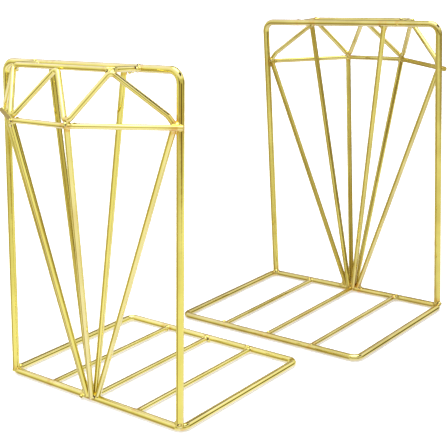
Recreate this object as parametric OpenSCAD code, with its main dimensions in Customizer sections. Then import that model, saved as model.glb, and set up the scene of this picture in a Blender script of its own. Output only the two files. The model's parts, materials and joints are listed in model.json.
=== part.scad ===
// A pair of wire book ends. Each one is a flat base loop with three slats, an upright frame
// that stands on the loop's two back corners, and a faceted gem of thinner wire on the back
// of the frame: a girdle, a table, a zigzag crown between them and six rods that run down
// to one point at the middle of the base. Every piece is cut and bent wire, welded where it
// touches the next, so neighbours sink into each other by the depth of a weld.
//
// The book ends face each other along X, with +Z up. The origin lies on the shelf, under the
// middle of the pair's outline. Inside one book end, X points from the upright over the base,
// towards the books, and the origin lies on the shelf under the middle of the base's back bar.

/* [Pair] */
// Distance between the two upright frames
spread = 220; // [210:1:400]
// Sideways offset between the two book ends
stagger = 27; // [0:1:60]

/* [Wire] */
// Diameter of the wire of the upright frame and the base loop
frame_wire = 4; // [3.4:0.1:5]
// Diameter of the six rods that meet at the bottom
rod_wire = 3.2; // [2.6:0.1:3.8]
// Diameter of the wire of the slats, girdle, table and crown
thin_wire = 2.9; // [2.4:0.1:3.3]
// Depth that two wires sink into each other at a weld
weld_depth = 0.4; // [0.2:0.1:0.6]

/* [Upright frame] */
// Distance between the centre lines of the two legs
frame_width = 127; // [104:1:160]
// Height of the top bar's centre line above the shelf
frame_height = 180; // [150:1:240]
// Radius of the two top corners, at the wire's centre line
frame_radius = 6; // [4:0.5:12]
// Lean of the left book end's upright over its base, in degrees
left_lean = 5.5; // [0:0.5:6]
// Lean of the right book end's upright over its base, in degrees
right_lean = 0.5; // [0:0.5:6]

/* [Base] */
// Distance between the centre lines of the loop's two sides
base_width = 130; // [107:1:163]
// Distance between the centre lines of the loop's back and front bars
base_depth = 99; // [80:1:102]
// Radius of the loop's corners, at the wire's centre line
base_radius = 4.5; // [3:0.5:6]

/* [Gem] */
// Height of the girdle's centre line
girdle_height = 153.5; // [120:0.5:156]
// Width of the girdle's flat front
girdle_front = 40; // [30:1:50]
// Distance that the girdle stands out behind the frame
girdle_depth = 33; // [26:1:40]
// Width of the table, between its corners
table_width = 71; // [56:1:80]
// Distance that the table stands out behind the frame
table_depth = 18; // [14:1:22]
// Distance between the two rods on the top bar
top_rod_gap = 53; // [36:1:60]

/* [Hidden] */
$fn = 48;
gold = "gold";
dark_gold = "goldenrod";
// Bend radii of the thin wire, at its centre line
table_radius = 4;
girdle_radius = 3;
crown_radius = 2.5;
// Angle by which a bend reaches over each straight end, and what it adds to the diameter
bend_grip = 2;
bend_swell = 0.02;
// Length of girdle wire that runs past the leg it is welded to
girdle_stub = 1.5;
// Distance by which the table's ends stand wider apart than its corners, on each side
table_flare = 1.5;
// Depth of the legs' feet in the loop's back corners
leg_foot_depth = 0.8;
// Places of the rods' feet: distance from the middle of the back bar along it, distance in
// front of the bar's centre line, and depth in the bar
outer_foot = 4.5;
outer_foot_depth = 0.4;
inner_foot = 1.5;
inner_foot_front = -1.7;
inner_foot_depth = 1;
top_foot_front = 1.3;
top_foot_depth = 0.8;
// Places of the rods' tops: an outer one beside its leg, at this angle inward from straight
// behind it, and an inner one in front of its girdle corner
outer_top_angle = 34;
inner_top_front = 0.5;
// The crown's ends touch the legs at this angle inward from straight behind them, and at this
// height above the girdle's centre line
crown_tip_angle = 32;
crown_tip_height = 1.3;
// The bends next to the crown's ends: behind the leg, inward from it and above the girdle
crown_knee = [-4.3, -4.1, 5.4];
// Shift of the crown's valleys from the girdle's corners towards the frame
valley_front = 0.3;
// How the crown passes the table: by what share of their distance it lies below a table
// corner, and how steeply it lies below and outside the middle, in degrees
side_peak_share = 0.66;
middle_peak_angle = 30;

leg_y = frame_width / 2;
slat_pitch = base_width / 4;
lap = (frame_wire + thin_wire) / 2 - weld_depth;
rod_lap = (frame_wire + rod_wire) / 2 - weld_depth / 4;
crossing = thin_wire - weld_depth / 2;
front_y = girdle_front / 2;
corner_y = table_width / 2;

// Distance from the back bar to the outer side of the girdle, for a lean
function reach_back(lean) =
    girdle_depth * cos(lean) - (girdle_height - frame_wire / 2) * sin(lean) + thin_wire / 2;
middle_x = (reach_back(left_lean) - reach_back(right_lean)) / 2;

// ---- Wire ----

function unit(v) = v / norm(v);

// Unit vector square to the unit vector along, on the side that v points to
function square_to(v, along) = unit(v - along * (v * along));

// The corner point of a bend of radius r whose centre line passes through p, between a and c
function corner_through(a, p, c, r) =
    let (to_a = unit(a - p), to_c = unit(c - p))
    p - unit(to_a + to_c) * r * (1 / sin(acos(to_a * to_c) / 2) - 1);

// Straight wire of diameter d from p to q
module straight(p, q, d) {
    v = q - p;
    translate(p)
        rotate([0, acos(v.z / norm(v)), atan2(v.y, v.x)])
            cylinder(h = norm(v), d = d);
}

// Wire of diameter d along the corner points of path, bent with radius r at each of them.
// turn is the angle of each bend, and roll the angle from the plane of one bend to the next.
module wire(path, r, d) {
    last = len(path) - 2;
    dir = [for (i = [0:last]) unit(path[i + 1] - path[i])];
    turn = [for (i = [1:last]) acos(dir[i - 1] * dir[i])];
    trim = [0, for (t = turn) r * tan(t / 2), 0];
    length = [for (i = [0:last]) norm(path[i + 1] - path[i]) - trim[i] - trim[i + 1]];
    tilt = acos(dir[0].z);
    heading = atan2(dir[0].y, dir[0].x);
    start = [cos(heading) * cos(tilt), sin(heading) * cos(tilt), -sin(tilt)];
    inward = [start, for (i = [1:last]) -square_to(dir[i - 1], dir[i])];
    roll = [
        for (i = [1:last])
            let (next = square_to(dir[i], dir[i - 1]))
            atan2(next * cross(dir[i - 1], inward[i - 1]), next * inward[i - 1])
    ];
    translate(path[0])
        rotate([0, tilt, heading])
            run(length, turn, roll, r, d, 0);
}

// The stretch number i of a wire along +Z, the bend after it, and the stretches that follow.
// A bend is a hair thicker than the straight wire and grips the ends on its two sides.
module run(length, turn, roll, r, d, i) {
    cylinder(h = length[i], d = d);
    if (i < len(turn))
        translate([0, 0, length[i]])
            rotate([0, 0, roll[i]])
                translate([r, 0, 0]) {
                    rotate([90, 0, 180])
                        rotate_extrude(start = -bend_grip, angle = turn[i] + 2 * bend_grip)
                            translate([r, 0])
                                circle(d = d + bend_swell);
                    rotate([0, turn[i], 0])
                        translate([-r, 0, 0])
                            run(length, turn, roll, r, d, i + 1);
                }
}

// ---- Places ----

module at_left() {
    $lean = left_lean;
    translate([middle_x - spread / 2, stagger / 2, 0])
        children();
}

module at_right() {
    $lean = right_lean;
    translate([middle_x + spread / 2, -stagger / 2, 0])
        rotate([0, 0, 180])
            children();
}

// Tips what stands on the base about the centre line of its back bar
module leaning() {
    translate([0, 0, frame_wire / 2])
        rotate([0, $lean, 0])
            translate([0, 0, -frame_wire / 2])
                children();
}

// The vector v, which is given for side 1, on the half of the book end that side names
function on_side(v, side) = [v.x, side * v.y, v.z];

// Points of the gem. side is 1 or -1, for the two halves of the book end.
function leg(side) = [0, side * leg_y, girdle_height];
function girdle_corner(side) = [-girdle_depth, side * front_y, girdle_height];
function table_corner(side) = [-table_depth, side * corner_y, frame_height];

// The girdle's end laps the back of the leg and runs a little past it
function girdle_end(side) =
    let (along = unit(girdle_corner(side) - leg(side)))
    let (across = side * cross(along, [0, 0, 1]))
    leg(side) + across * lap - along * girdle_stub;

// The crown touches the table from outside and below, and stands on the girdle's corners
function crown_side_peak(side) =
    table_corner(side) + [0, 0, -crossing * side_peak_share];
function crown_middle_peak() =
    [-table_depth, 0, frame_height]
    - crossing * [cos(middle_peak_angle), 0, sin(middle_peak_angle)];
function crown_valley(side) =
    girdle_corner(side) + [valley_front, 0, thin_wire - weld_depth];

// ---- Pieces of one book end ----

// The loop's wire starts and ends at the middle of its back bar
module base_loop() {
    color(gold)
        wire(
            [
                [0, 0, frame_wire / 2],
                [0, -base_width / 2, frame_wire / 2],
                [base_depth, -base_width / 2, frame_wire / 2],
                [base_depth, base_width / 2, frame_wire / 2],
                [0, base_width / 2, frame_wire / 2],
                [0, 0, frame_wire / 2]
            ],
            base_radius, frame_wire
        );
}

// Slat number 1, 2 or 3, butted between the back bar and the front bar
module base_slat(number) {
    y = (2 - number) * slat_pitch;
    reach = frame_wire / 2 - weld_depth;
    color(dark_gold)
        straight([reach, y, frame_wire / 2], [base_depth - reach, y, frame_wire / 2], thin_wire);
}

module upright_frame() {
    foot = frame_wire - leg_foot_depth;
    color(gold)
        leaning()
            wire(
                [
                    [0, leg_y, foot],
                    [0, leg_y, frame_height],
                    [0, -leg_y, frame_height],
                    [0, -leg_y, foot]
                ],
                frame_radius, frame_wire
            );
}

module girdle_wire() {
    color(dark_gold)
        leaning()
            wire(
                [girdle_end(1), girdle_corner(1), girdle_corner(-1), girdle_end(-1)],
                girdle_radius, thin_wire
            );
}

module table_wire() {
    end_x = -frame_wire / 2 + weld_depth;
    color(dark_gold)
        leaning()
            wire(
                [
                    [end_x, corner_y + table_flare, frame_height],
                    table_corner(1),
                    table_corner(-1),
                    [end_x, -corner_y - table_flare, frame_height]
                ],
                table_radius, thin_wire
            );
}

module crown_wire() {
    r = crown_radius;
    tip = [-lap * cos(crown_tip_angle), -lap * sin(crown_tip_angle), crown_tip_height];
    tip1 = leg(1) + tip;
    a = leg(1) + crown_knee;
    t1 = crown_side_peak(1);
    b = crown_valley(1);
    t2 = crown_middle_peak();
    c = crown_valley(-1);
    t3 = crown_side_peak(-1);
    d = leg(-1) + on_side(crown_knee, -1);
    tip2 = leg(-1) + on_side(tip, -1);
    color(dark_gold)
        leaning()
            wire(
                [
                    tip1,
                    a,
                    corner_through(a, t1, b, r),
                    corner_through(t1, b, t2, r),
                    corner_through(b, t2, c, r),
                    corner_through(t2, c, t3, r),
                    corner_through(c, t3, d, r),
                    d,
                    tip2
                ],
                r, thin_wire
            );
}

// Rod number 1 to 4, from the underside of the girdle to the point of the gem
module girdle_rod(number) {
    side = number < 3 ? 1 : -1;
    outer = number == 1 || number == 4;
    under = -thin_wire / 2 + weld_depth;
    top = outer
        ? leg(side)
            + on_side([-rod_lap * cos(outer_top_angle), -rod_lap * sin(outer_top_angle), under], side)
        : girdle_corner(side) + [inner_top_front, 0, under];
    foot = outer
        ? [0, side * outer_foot, frame_wire - outer_foot_depth]
        : [inner_foot_front, side * inner_foot, frame_wire - inner_foot_depth];
    color(gold)
        leaning()
            straight(foot, top, rod_wire);
}

// Rod number 1 or 2, from the underside of the top bar to the point of the gem
module top_rod(number) {
    side = number == 1 ? 1 : -1;
    top = [0, side * top_rod_gap / 2, frame_height - frame_wire / 2 + weld_depth];
    foot = [top_foot_front, side * inner_foot, frame_wire - top_foot_depth];
    color(gold)
        leaning()
            straight(foot, top, rod_wire);
}

// ---- The two book ends ----

at_left() base_loop();  // left_base_loop
at_left() base_slat(1);  // left_base_slat_1
at_left() base_slat(2);  // left_base_slat_2
at_left() base_slat(3);  // left_base_slat_3
at_left() upright_frame();  // left_upright_frame
at_left() girdle_wire();  // left_girdle_wire
at_left() table_wire();  // left_table_wire
at_left() crown_wire();  // left_crown_wire
at_left() girdle_rod(1);  // left_girdle_rod_1
at_left() girdle_rod(2);  // left_girdle_rod_2
at_left() girdle_rod(3);  // left_girdle_rod_3
at_left() girdle_rod(4);  // left_girdle_rod_4
at_left() top_rod(1);  // left_top_rod_1
at_left() top_rod(2);  // left_top_rod_2

at_right() base_loop();  // right_base_loop
at_right() base_slat(1);  // right_base_slat_1
at_right() base_slat(2);  // right_base_slat_2
at_right() base_slat(3);  // right_base_slat_3
at_right() upright_frame();  // right_upright_frame
at_right() girdle_wire();  // right_girdle_wire
at_right() table_wire();  // right_table_wire
at_right() crown_wire();  // right_crown_wire
at_right() girdle_rod(1);  // right_girdle_rod_1
at_right() girdle_rod(2);  // right_girdle_rod_2
at_right() girdle_rod(3);  // right_girdle_rod_3
at_right() girdle_rod(4);  // right_girdle_rod_4
at_right() top_rod(1);  // right_top_rod_1
at_right() top_rod(2);  // right_top_rod_2
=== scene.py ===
"""Gold wire book ends: the gold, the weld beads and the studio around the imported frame.

Everything is in metres, and the studio is in degrees.
"""

import json
import math
import random

import bmesh
import bpy
from mathutils import Matrix, Vector
from mathutils.bvhtree import BVHTree


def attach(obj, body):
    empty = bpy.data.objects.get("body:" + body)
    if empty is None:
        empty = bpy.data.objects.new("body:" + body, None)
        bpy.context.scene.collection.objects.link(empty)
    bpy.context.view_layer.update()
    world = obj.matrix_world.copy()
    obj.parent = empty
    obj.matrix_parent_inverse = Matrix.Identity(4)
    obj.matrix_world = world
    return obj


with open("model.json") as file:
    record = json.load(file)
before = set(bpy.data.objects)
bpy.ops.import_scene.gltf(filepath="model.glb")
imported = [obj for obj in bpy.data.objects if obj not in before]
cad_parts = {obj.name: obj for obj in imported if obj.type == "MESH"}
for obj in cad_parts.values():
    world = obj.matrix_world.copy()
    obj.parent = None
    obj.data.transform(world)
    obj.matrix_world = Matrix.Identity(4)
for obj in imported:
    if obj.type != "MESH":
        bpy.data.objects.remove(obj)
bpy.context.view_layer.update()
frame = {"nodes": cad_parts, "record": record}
NODES = frame["nodes"]
BODIES = frame["record"]["behaviour"]["bodies"]
PRESS_FITS = frame["record"]["behaviour"]["press_fits"]

# Camera: its lens and sensor are in millimetres, and its shift is in widths of the picture
CAM_PLACE = Vector((-0.4539, -0.3648, 0.2403))
CAM_YAW = math.radians(41.96)
CAM_PITCH = math.radians(-16.28)
CAM_ROLL = math.radians(-3.56)
CAM_LENS = 81.4
CAM_SENSOR = 36
CAM_SHIFT = (0.088, 0.013)
CAM_FAR = 100

# Floor: it glows a little, so that the shadows on it stay faint
FLOOR_SIZE = 60
FLOOR_TONES = ((0.90, 0.90, 0.82), (0.93, 0.93, 0.85))
FLOOR_NOISE = (3, 2)
FLOOR_ROUGHNESS = 0.8
FLOOR_GLOW = (1.0, 1.0, 0.95)
FLOOR_GLOW_STRENGTH = 0.3

# Studio: each stretch covers what comes before it, and the rest has the brightness FILL.
# A row is brightness, then (low, high, softness) of the heights and of the azimuths.
# None is all the way round, and a stretch that crosses azimuth 180 is two rows.
FILL = 1.12
SOFTBOX = (31, 54)
STUDIO = [
    (1.22, (*SOFTBOX, 3), None),                  # ring of soft light
    (5.00, (66, 120, 5), None),                   # ceiling light
    (0.86, (-9, 12, 5), None),                    # horizon
    (0.55, (-42, -2, 4), (118, 160, 5)),          # floor beyond the left book end
    (0.72, (-3, 24, 5), (-200, -50, 6)),          # wall behind the camera
    (0.72, (-3, 24, 5), (166, 200, 6)),
    (0.66, (-12, 0, 2.5), (-112, -55, 6)),        # foot of that wall
    (0.14, (0, 12, 3), (-200, -158, 4)),          # dark screen at the left, with a taller side
    (0.14, (4, 20, 3), (172, 200, 4)),
    (0.55, (-4, 8, 2), (-150, -116, 4)),          # table that the camera stands on
    (0.15, (-10, 12, 4), (-60, -26, 5)),          # dark screen at the right
    (0.48, (-34, 30, 6), (8, 84, 7)),             # backdrop
    (0.15, (36, 60, 4), (2, 54, 6)),              # dark flag above the backdrop
    (0.03, (42, 62, 3), (-116, -30, 6)),          # black flag above the right
    (0.03, (-8, 4, 2), (-121, -100, 2)),          # black flag beside the camera
]
WHITE = (1.0, 1.0, 1.0)
COOL = (1.0, 1.0, 1.8)
COOL_HEIGHTS = (*SOFTBOX, 6)
COOL_BELOW = (-16, -40)
BROWN = (1.0, 0.78, 0.36)
BROWN_LEVELS = (0.9, 0.4)

# Gold of each book end: its two tones, darker on the right book end as painted shade for the darker
# reflections on it, then the tint of heated plating and burnt specks on welds
TONES_AND_PAINTED_SHADE = {
    "left_book_end": ((0.76, 0.665, 0.15), (0.84, 0.745, 0.19)),
    # right book end: the same gold made darker, as painted shade
    "right_book_end": ((0.60, 0.505, 0.12), (0.70, 0.605, 0.16)),
}
AMBER = (0.68, 0.38, 0.05)
SOOT = (0.10, 0.045, 0.02)

# Patterns in the gold: noise scale and detail, then the values from which it shows and is full
TONE_PATCHES = (45, 3, 0.35, 0.65)
HEAT_BLOTCHES = (330, 2, 0.40, 0.70)
STAINS = (28, 2, 0.54, 0.72)
SOOT_SPECKS = (620, 1, 0.60, 0.68)
STAIN_STRENGTH = 0.25
HEAT_STRENGTH = 0.8
HEAT_REACH = (0.006, 0.002)

# Surface of the gold: noise scale and detail, and the height of the relief
GRAIN_NOISE = (1100, 2)
WAVE_NOISE = (160, 2)
WAVE_STRENGTH = 0.06
WAVE_HEIGHT = 0.0008
PIT_NOISE = (900, 3)
PIT_HEIGHT = 0.0002
SMOOTHEST = 0.02
COAT = 0.2
COAT_ROUGHNESS = 0.03
WIRE = {"heat": 0.0, "soot": False, "roughest": 0.07, "pits": 0.03}
WELD = {"heat": 0.15, "soot": True, "roughest": 0.22, "pits": 0.30}

# Welds: places within GROUP_REACH are one weld, made of the wires within WELD_REACH and nuggets
GROUP_REACH = 0.0055
WELD_REACH = 0.0056
WELD_ROUNDNESS = 3
NUGGETS = 7
NUGGET_SPREAD = 0.0010
NUGGET_RADII = (0.0008, 0.0014)
NUGGET_ROUNDNESS = 2
VOXEL = 0.0002
SOFTEN_PASSES = 14
SOFTEN_FACTOR = 0.5
KEPT_FACES = 0.4
SEED = 7


# ---- Nodes ----

class Tree:
    """Short calls for making shader nodes."""

    def __init__(self, owner):
        owner.use_nodes = True
        self.tree = owner.node_tree
        self.tree.nodes.clear()

    def node(self, kind, inputs=None, **settings):
        node = self.tree.nodes.new("ShaderNode" + kind)
        for key, value in settings.items():
            setattr(node, key, value)
        for key, value in (inputs or {}).items():
            self.put(node.inputs[key], value)
        return node

    def put(self, socket, value):
        """Links another node's output to the socket, or sets the socket's own value."""
        if hasattr(value, "is_output"):
            self.tree.links.new(value, socket)
        elif socket.type == "RGBA":
            socket.default_value = (*value, 1)
        else:
            socket.default_value = value

    def math(self, operation, a, b=0.0, clamp=False):
        return self.node("Math", {0: a, 1: b}, operation=operation, use_clamp=clamp).outputs[0]

    def ramp(self, value, start, end):
        """Rises smoothly from 0 to 1 while value goes from start to end."""
        return self.node("MapRange", {"Value": value, "From Min": start, "From Max": end},
                         interpolation_type="SMOOTHSTEP").outputs[0]

    def band(self, value, low, high, soft):
        """1 where value lies between low and high, and 0 outside, with soft edges."""
        return self.math("MULTIPLY", self.ramp(value, low - soft, low + soft),
                         self.ramp(value, high + soft, high - soft))

    def mix(self, factor, a, b, kind="RGBA"):
        """a where factor is 0 and b where it is 1."""
        node = self.node("Mix", data_type=kind)
        for key, value in (("Factor", factor), ("A", a), ("B", b)):
            self.put(next(s for s in node.inputs if s.name == key and s.enabled), value)
        return next(s for s in node.outputs if s.enabled)

    def noise(self, where, scale, detail):
        return self.node("TexNoise", {"Vector": where, "Scale": scale, "Detail": detail}).outputs["Fac"]

    def pattern(self, where, scale, detail, start, full):
        """Noise as patches: 0 where it is below start and 1 where it is above full."""
        return self.ramp(self.noise(where, scale, detail), start, full)

    def bump(self, height, strength, distance, under=None):
        """Relief, on top of another relief where one is given."""
        node = self.node("Bump", {"Strength": strength, "Distance": distance, "Height": height})
        if under is not None:
            self.put(node.inputs["Normal"], under)
        return node.outputs[0]

    def finish(self, kind, shader, inputs):
        """Ends the tree with this shader."""
        self.node(kind, {"Surface": self.node(shader, inputs).outputs[0]})


# ---- Materials ----

def heat_tint(t, where, welds, least):
    """How far heat has tinted the plating: near the welds, and in a few stains elsewhere."""
    heat = least
    for weld in welds:
        away = t.node("VectorMath", {0: where, 1: weld}, operation="DISTANCE").outputs["Value"]
        heat = t.math("MAXIMUM", heat, t.ramp(away, *HEAT_REACH))
    heat = t.math("MULTIPLY", heat, t.pattern(where, *HEAT_BLOTCHES))
    stain = t.math("MULTIPLY", t.pattern(where, *STAINS), STAIN_STRENGTH)
    return t.math("MULTIPLY", t.math("ADD", heat, stain, clamp=True), HEAT_STRENGTH)


def gold(name, body, surface, welds=()):
    """Polished gold plating, with the surface of a wire or of a weld; on the right book end it is darker,
    as painted shade.
    """
    material = bpy.data.materials.new(name)
    t = Tree(material)
    where = t.node("TexCoord").outputs["Object"]
    # the right book end's tones are darker than the left's: painted shade
    colour = t.mix(t.pattern(where, *TONE_PATCHES), *TONES_AND_PAINTED_SHADE[body])
    colour = t.mix(heat_tint(t, where, welds, surface["heat"]), colour, AMBER)
    if surface["soot"]:
        colour = t.mix(t.pattern(where, *SOOT_SPECKS), colour, SOOT)
    grain = t.noise(where, *GRAIN_NOISE)
    roughness = t.node("MapRange", {"Value": grain, "To Min": SMOOTHEST, "To Max": surface["roughest"]})
    waves = t.bump(t.noise(where, *WAVE_NOISE), WAVE_STRENGTH, WAVE_HEIGHT)
    relief = t.bump(t.noise(where, *PIT_NOISE), surface["pits"], PIT_HEIGHT, waves)
    t.finish("OutputMaterial", "BsdfPrincipled", {
        "Base Color": colour,
        "Metallic": 1.0,
        "Roughness": roughness.outputs[0],
        "Normal": relief,
        "Coat Weight": COAT,
        "Coat Roughness": COAT_ROUGHNESS,
    })
    return material


def floor_paint():
    """Matt, nearly white paint, which glows a little as painted light, so that the shadows on it stay
    faint.
    """
    material = bpy.data.materials.new("floor")
    t = Tree(material)
    where = t.node("TexCoord").outputs["Object"]
    t.finish("OutputMaterial", "BsdfPrincipled", {
        "Base Color": t.mix(t.noise(where, *FLOOR_NOISE), *FLOOR_TONES),
        "Roughness": FLOOR_ROUGHNESS,
        "Emission Color": FLOOR_GLOW,
        "Emission Strength": FLOOR_GLOW_STRENGTH,
    })
    return material


# ---- Objects ----

def linked(name, data):
    """A new object in the scene, with this mesh or camera."""
    ob = bpy.data.objects.new(name, data)
    bpy.context.scene.collection.objects.link(ob)
    return ob


def drop(ob):
    bpy.data.objects.remove(ob, do_unlink=True)


def mesh_of(bm, name):
    """A mesh with what was built in bm, which ends here."""
    mesh = bpy.data.meshes.new(name)
    bm.to_mesh(mesh)
    bm.free()
    return mesh


def modify(ob, kind, **settings):
    """Adds a modifier to the object."""
    modifier = ob.modifiers.new(kind, kind)
    for key, value in settings.items():
        setattr(modifier, key, value)


def baked(ob):
    """The object's mesh with its modifiers applied."""
    graph = bpy.context.evaluated_depsgraph_get()
    return bpy.data.meshes.new_from_object(ob.evaluated_get(graph))


def add_ball(bm, centre, radius, roundness):
    bmesh.ops.create_icosphere(bm, subdivisions=roundness, radius=radius,
                               matrix=Matrix.Translation(centre))


# ---- Stage ----

def make_camera():
    data = bpy.data.cameras.new("camera")
    data.sensor_width = CAM_SENSOR
    data.lens = CAM_LENS
    data.shift_x, data.shift_y = CAM_SHIFT
    data.clip_end = CAM_FAR
    camera = linked("camera", data)
    ahead = Vector((math.cos(CAM_YAW) * math.cos(CAM_PITCH),
                    math.sin(CAM_YAW) * math.cos(CAM_PITCH),
                    math.sin(CAM_PITCH)))
    level_right = Vector((math.sin(CAM_YAW), -math.cos(CAM_YAW), 0))
    level_up = level_right.cross(ahead)
    right = level_right * math.cos(CAM_ROLL) + level_up * math.sin(CAM_ROLL)
    up = level_up * math.cos(CAM_ROLL) - level_right * math.sin(CAM_ROLL)
    turn = Matrix((right, up, -ahead)).transposed()
    camera.matrix_world = Matrix.Translation(CAM_PLACE) @ turn.to_4x4()
    bpy.context.scene.camera = camera


def make_floor():
    bpy.ops.mesh.primitive_plane_add(size=FLOOR_SIZE)
    floor = bpy.context.object
    floor.name = "floor"
    floor.data.materials.append(floor_paint())
    floor.visible_glossy = False


def make_studio():
    """A bright studio, whose darker stretches draw the lines along the wires."""
    scene = bpy.context.scene
    scene.world = bpy.data.worlds.new("studio")
    scene.view_settings.view_transform = "Standard"
    t = Tree(scene.world)
    way = t.node("TexCoord").outputs["Generated"]
    x, y, z = t.node("SeparateXYZ", {"Vector": way}).outputs
    azimuth = t.math("DEGREES", t.math("ARCTAN2", y, x))
    height = t.math("DEGREES", t.math("ARCSINE", z))
    level = FILL
    for brightness, heights, azimuths in STUDIO:
        here = t.band(height, *heights)
        if azimuths:
            here = t.math("MULTIPLY", here, t.band(azimuth, *azimuths))
        level = t.mix(here, level, brightness, "FLOAT")
    cool = t.math("MAXIMUM", t.band(height, *COOL_HEIGHTS), t.ramp(height, *COOL_BELOW))
    colour = t.mix(cool, WHITE, COOL)
    colour = t.mix(t.ramp(level, *BROWN_LEVELS), colour, BROWN)
    t.finish("OutputWorld", "Background", {"Color": colour, "Strength": level})


# ---- Welds ----

def tree_of(mesh):
    return BVHTree.FromPolygons([v.co for v in mesh.vertices], [p.vertices for p in mesh.polygons])


def piercings(mesh, faces, other):
    """Points where the edges of these faces go through the other surface."""
    found = []
    edges = {key for i in faces for key in mesh.polygons[i].edge_keys}
    for one, two in sorted(edges):
        start = mesh.vertices[one].co
        along = mesh.vertices[two].co - start
        hit = other.ray_cast(start, along, along.length)[0]
        if hit is not None:
            found.append(hit)
    return found


def middle(group):
    return group["sum"] / group["count"]


def gather(groups, place, names):
    """Adds the place to the group it lies in, or starts a new group there."""
    for group in groups:
        if (middle(group) - place).length < GROUP_REACH:
            group["sum"] += place
            group["count"] += 1
            group["names"] |= names
            return
    groups.append({"sum": place.copy(), "count": 1, "names": set(names)})


def find_welds():
    """For each body, the groups of places where its wires sink into each other."""
    trees = {name: tree_of(node.data) for name, node in NODES.items()}
    owner = {name: body for body, names in BODIES.items() for name in names}
    welds = {body: [] for body in BODIES}
    for a, b in PRESS_FITS:
        touching = trees[a].overlap(trees[b])
        points = piercings(NODES[a].data, {i for i, _ in touching}, trees[b])
        points += piercings(NODES[b].data, {j for _, j in touching}, trees[a])
        spots = []
        for point in points:
            gather(spots, point, {a, b})
        for spot in spots:
            gather(welds[owner[a]], middle(spot), {a, b})
    return welds


def add_wires(bm, names, place):
    """Adds what lies within WELD_REACH of the place, of each of these wires."""
    ball_shape = bmesh.new()
    add_ball(ball_shape, place, WELD_REACH, WELD_ROUNDNESS)
    ball = linked("ball", mesh_of(ball_shape, "ball"))
    for name in sorted(names):
        cut = linked("cut", NODES[name].data.copy())
        modify(cut, "BOOLEAN", operation="INTERSECT", object=ball)
        bm.from_mesh(baked(cut))
        drop(cut)
    drop(ball)


def melt(weld):
    """Melts the parts of a weld together, smooths them, and keeps them above the floor."""
    modify(weld, "REMESH", mode="VOXEL", voxel_size=VOXEL)
    modify(weld, "SMOOTH", factor=SOFTEN_FACTOR, iterations=SOFTEN_PASSES)
    modify(weld, "DECIMATE", ratio=KEPT_FACES)
    weld.data = baked(weld)
    weld.modifiers.clear()
    for vertex in weld.data.vertices:
        vertex.co.z = max(vertex.co.z, 0)
    weld.data.shade_smooth()


def make_weld(name, body, group, rng):
    """Filler metal where wires meet: their ends and a few nuggets, melted together."""
    bm = bmesh.new()
    add_wires(bm, group["names"], middle(group))
    for _ in range(NUGGETS):
        offset = Vector([rng.gauss(0, NUGGET_SPREAD) for _ in range(3)])
        add_ball(bm, middle(group) + offset, rng.uniform(*NUGGET_RADII), NUGGET_ROUNDNESS)
    weld = linked(name, mesh_of(bm, name))
    melt(weld)
    weld.data.materials.append(gold(name, body, WELD))
    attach(weld, body)


# ---- Book ends ----

def gild(name, body, welds):
    """Plates a wire with gold, which is tinted where the wire is welded."""
    materials = NODES[name].data.materials
    materials.clear()
    materials.append(gold(name, body, WIRE, [middle(group) for group in welds if name in group["names"]]))


make_camera()
make_floor()
make_studio()

rng = random.Random(SEED)
for body, welds in find_welds().items():
    for name in BODIES[body]:
        gild(name, body, welds)
    side = body.split("_")[0]
    for number, group in enumerate(welds, 1):
        make_weld("%s_weld_%02d" % (side, number), body, group, rng)
